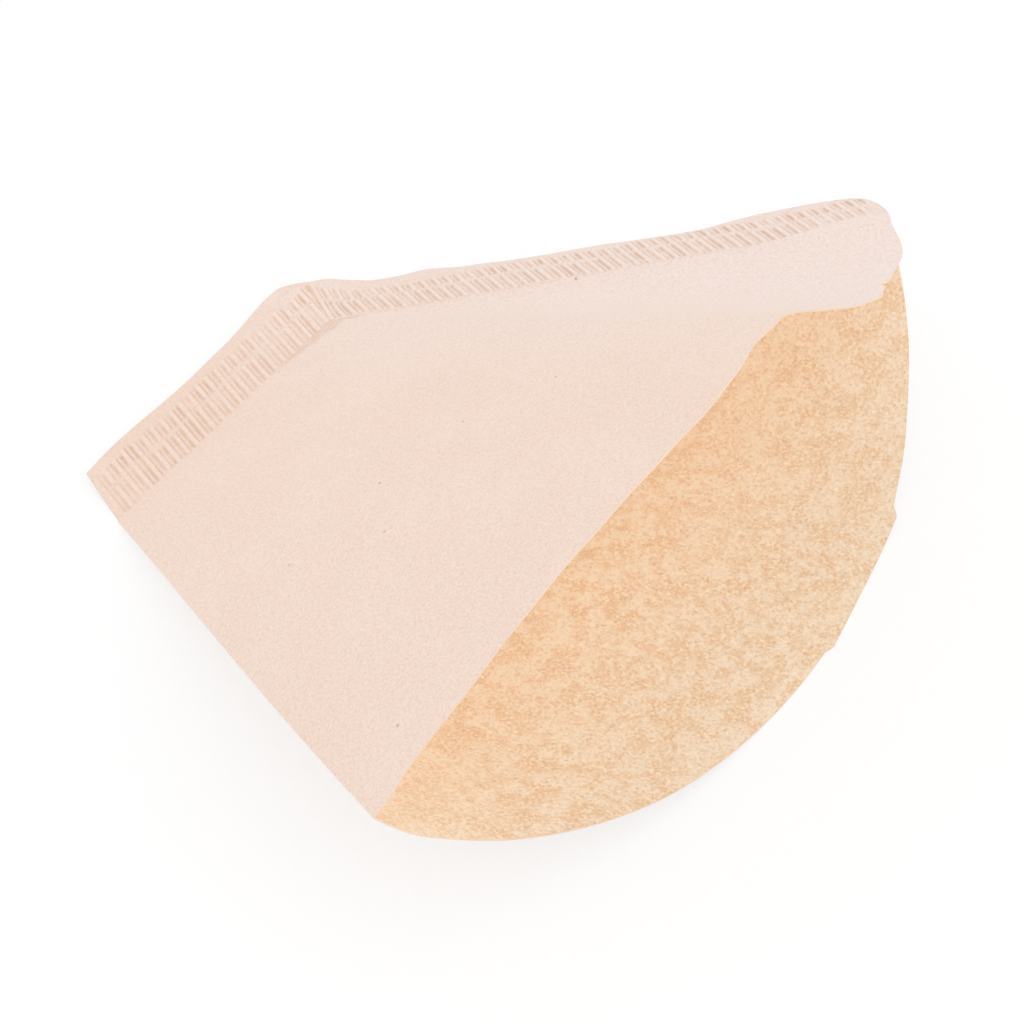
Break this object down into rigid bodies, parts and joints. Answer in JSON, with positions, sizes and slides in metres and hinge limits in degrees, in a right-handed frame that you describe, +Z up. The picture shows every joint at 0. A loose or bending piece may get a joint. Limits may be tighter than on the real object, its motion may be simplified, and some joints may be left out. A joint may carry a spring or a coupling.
{
  "type": "paper coffee filter",
  "caption": "Folded wedge-cone paper filter for pour-over coffee, open at the mouth, with crimped borders along its bottom and one side.",
  "frame": {"origin": "centre of the bounding box at the table, under the filter as it lies on its back panel", "axes": "-Y towards the open mouth, +Y towards the crimped bottom, +X towards the crimped seam, -X towards the fold, +Z up from the table"},
  "size_m": [0.14, 0.104, 0.0469],
  "materials": {
    "paper": "unbleached, matt, faint fibre grain"
  },
  "bodies": {
    "root": {"coffee_filter": "paper"}
  },
  "joints": []
}
